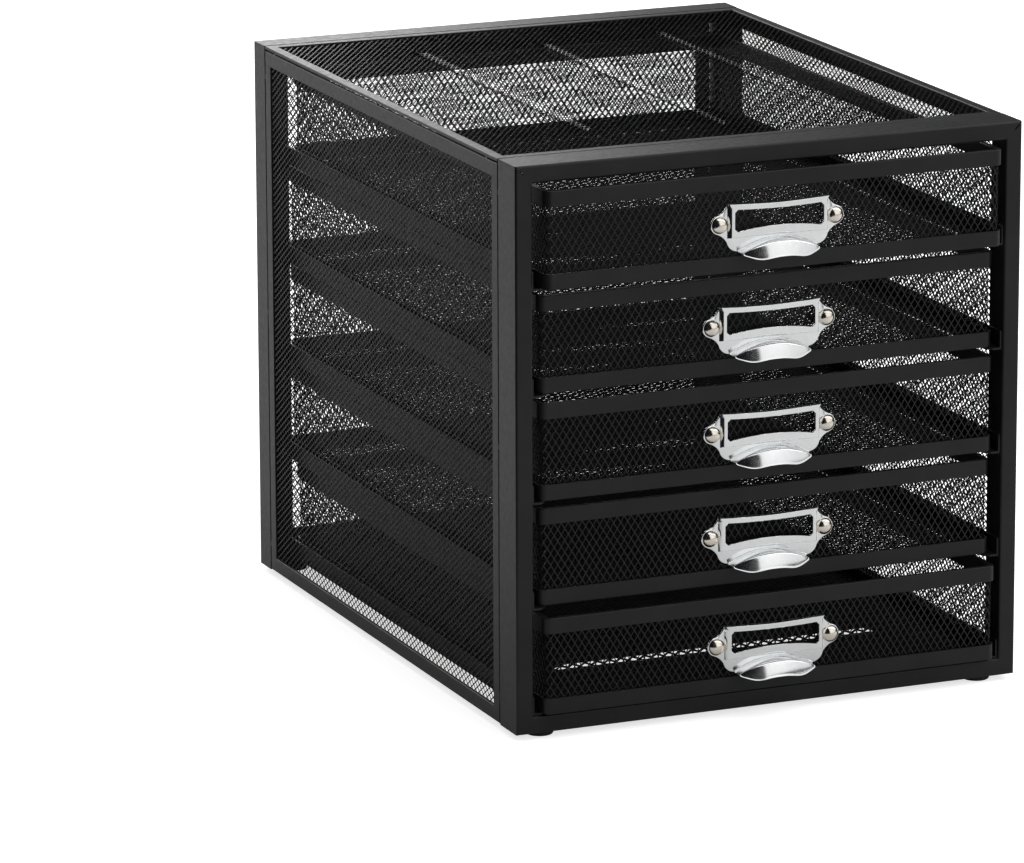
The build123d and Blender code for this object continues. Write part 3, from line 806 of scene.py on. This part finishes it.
def makePull(number):
    # Plate and cup are two closed shells that overlap, in one piece
    plate, plateFaces = pullPlate()
    cup, cupFaces = cupShell()
    points = np.concatenate([plate, cup])
    faces = np.concatenate([plateFaces, cupFaces + len(plate)])
    points, quads, triangles = welded(stoodOnDrawer(points, number), faces)
    makePiece("drawer_%d_label_plate" % number, points, quads, "drawer_%d" % number, "pull_chrome",
              "drawer_%d_label_pull" % number, labelPull["smoothBelow"], triangles)


# Rivets: each row of the section is a radius and a height over the plate
rivet = {
    "section": ((0.0, 3.05), (0.6, 3.01), (1.2, 2.9), (1.8, 2.72), (2.4, 2.44), (2.95, 2.07),
                (3.45, 1.62), (3.85, 1.14), (4.12, 0.7), (4.28, 0.35), (4.32, 0.15), (4.25, 0.0),
                (1.5, 0.0), (1.5, -1.8), (2.85, -1.8), (3.0, -1.95), (3.0, -2.65), (2.8, -2.8),
                (0.0, -2.8)),
    "around": 48,
    "smoothBelow": 40,
}


def turned(section, around):
    # A section of radius and height carried round its axis
    section = np.array(section)
    angle = 2 * np.pi * np.arange(around) / around
    x = section[:, 0:1] * np.cos(angle)
    z = section[:, 0:1] * np.sin(angle)
    height = np.repeat(section[:, 1:2], around, axis=1)
    points = np.stack([x, z, height], axis=2).reshape(-1, 3)
    return points, ringFaces(len(section), around)[: (len(section) - 1) * around, ::-1]


def makeRivets(number):
    # One turned section at each ear, its head standing on the plate
    points, faces = turned(rivet["section"], rivet["around"])
    plateFace = labelPull["sheet"]
    both = [points + [side * labelPull["rivets"], 0, plateFace] for side in (-1, 1)]
    points = stoodOnDrawer(np.concatenate(both), number)
    points, quads, triangles = welded(points, np.concatenate([faces, faces + len(both[0])]))
    makePiece("drawer_%d_rivet_pair" % number, points, quads, "drawer_%d" % number, "rivet_nickel",
              "drawer_%d_pull_rivets" % number, rivet["smoothBelow"], triangles)


for number in drawerNumbers:
    makePull(number)
    makeRivets(number)
print("label pulls and rivets set")


def dressNodes():
    # The folded steel and the feet stay as they were drawn, in their own finish
    slots = {part["node"]: part["material_slot"] for part in frame["record"]["subparts"]}
    for node, item in frame["nodes"].items():
        finish = finishes[slots[node]]
        for materialSlot in item.material_slots:
            materialSlot.material = finish
        if not item.material_slots:
            item.data.materials.append(finish)


dressNodes()
print("steel coated")


# Studio, in metres: a pale floor, a dim room with a white wall, and a dark card at the left that
# only reflections show
studio = {
    "floorSize": 14.0,
    "floorColour": (0.86, 0.86, 0.86),
    "floorTone": (0.99, 1.0),
    "floorCloudScale": 1.5,
    "floorRoughness": 0.9,
    "floorGloss": 0.1,
    "floorGlow": 0.72,
    "room": 0.05,
    "background": 1.0,
    "card": ((-0.4, -2.4, 0.0), (-0.4, 0.12, 0.0), (-0.4, 0.12, 1.6), (-0.4, -2.4, 1.6)),
    "cardColour": (0.01, 0.01, 0.012),
    "cardRoughness": 0.95,
}

# Soft boxes overhead, at the right, wide in front and behind, each with its power in watts and
# its spread in degrees
softBoxes = {
    "overhead": {"place": (0.5, 0.2, 2.4), "aim": (0.5, 0.2, 0.0), "size": (2.3, 3.6),
                 "power": 24.0, "spread": 140},
    "right": {"place": (2.2, -0.1, 1.7), "aim": (0.9, -0.4, 0.0), "size": (1.6, 2.0),
              "power": 12.0, "spread": 130},
    "front": {"place": (1.95, -2.17, 1.5), "aim": (1.25, -0.17, 0.25), "size": (5.0, 3.0),
              "power": 36.0, "spread": 150},
    "rear": {"place": (-0.65, 2.7, 1.1), "aim": (-0.6, 1.0, 0.0), "size": (3.5, 1.4),
             "power": 30.0, "spread": 120},
}


def makeStage(name, corners, material):
    mesh = bpy.data.meshes.new(name)
    mesh.from_pydata(corners, [], [(0, 1, 2, 3)])
    mesh.materials.append(material)
    item = bpy.data.objects.new(name, mesh)
    bpy.context.scene.collection.objects.link(item)
    return item


def makeFloor():
    # Faint clouds in the tone, and a glow that only the camera sees, so that it stays pale
    half = studio["floorSize"] / 2
    material, nodes, links, shader = newMaterial("paleFloor")
    clouds = noiseOf(nodes, links, studio["floorCloudScale"])
    tone = tinted(nodes, links, clouds, studio["floorColour"], *studio["floorTone"])
    links.new(tone, shader.inputs["Base Color"])
    shader.inputs["Roughness"].default_value = studio["floorRoughness"]
    shader.inputs["Specular IOR Level"].default_value = studio["floorGloss"]
    shader.inputs["Emission Color"].default_value = (1, 1, 1, 1)
    seen = nodes.new("ShaderNodeLightPath")
    glow = nodes.new("ShaderNodeMath")
    glow.operation = "MULTIPLY"
    glow.inputs[1].default_value = studio["floorGlow"]
    links.new(seen.outputs["Is Camera Ray"], glow.inputs[0])
    links.new(glow.outputs[0], shader.inputs["Emission Strength"])
    corners = [(-half, -half, 0), (half, -half, 0), (half, half, 0), (-half, half, 0)]
    makeStage("studioFloor", corners, material)


def makeCard():
    # Dull black, with no gloss of its own; nothing but reflections sees it
    material, nodes, links, shader = newMaterial("darkCard")
    shader.inputs["Base Color"].default_value = (*studio["cardColour"], 1)
    shader.inputs["Roughness"].default_value = studio["cardRoughness"]
    shader.inputs["Specular IOR Level"].default_value = 0.0
    card = makeStage("darkCard", studio["card"], material)
    card.visible_camera = card.visible_diffuse = False
    card.visible_shadow = card.visible_transmission = False


def makeRoom():
    # The camera sees a white wall, and everything else the dim room
    world = bpy.data.worlds.new("paleRoom")
    world.use_nodes = True
    bpy.context.scene.world = world
    nodes, links = world.node_tree.nodes, world.node_tree.links
    nodes.clear()
    room, wall = nodes.new("ShaderNodeBackground"), nodes.new("ShaderNodeBackground")
    room.inputs["Strength"].default_value = studio["room"]
    wall.inputs["Strength"].default_value = studio["background"]
    room.inputs["Color"].default_value = (1, 1, 1, 1)
    wall.inputs["Color"].default_value = (1, 1, 1, 1)
    ray = nodes.new("ShaderNodeLightPath")
    mix = nodes.new("ShaderNodeMixShader")
    out = nodes.new("ShaderNodeOutputWorld")
    links.new(ray.outputs["Is Camera Ray"], mix.inputs["Fac"])
    links.new(room.outputs[0], mix.inputs[1])
    links.new(wall.outputs[0], mix.inputs[2])
    links.new(mix.outputs[0], out.inputs["Surface"])


def makeSoftBoxes():
    # Each is a flat rectangle that faces its aim
    for name, box in softBoxes.items():
        light = bpy.data.lights.new(name, "AREA")
        light.shape = "RECTANGLE"
        light.size, light.size_y = box["size"]
        light.energy = box["power"]
        light.spread = np.radians(box["spread"])
        item = bpy.data.objects.new(name, light)
        bpy.context.scene.collection.objects.link(item)
        item.location = box["place"]
        away = Vector(box["aim"]) - Vector(box["place"])
        item.rotation_mode = "QUATERNION"
        item.rotation_quaternion = away.to_track_quat("-Z", "Y")
        item.visible_camera = False


makeFloor()
makeCard()
makeRoom()
makeSoftBoxes()
bpy.context.scene.view_settings.view_transform = "Standard"
print("studio lit")

bpy.context.view_layer.update()
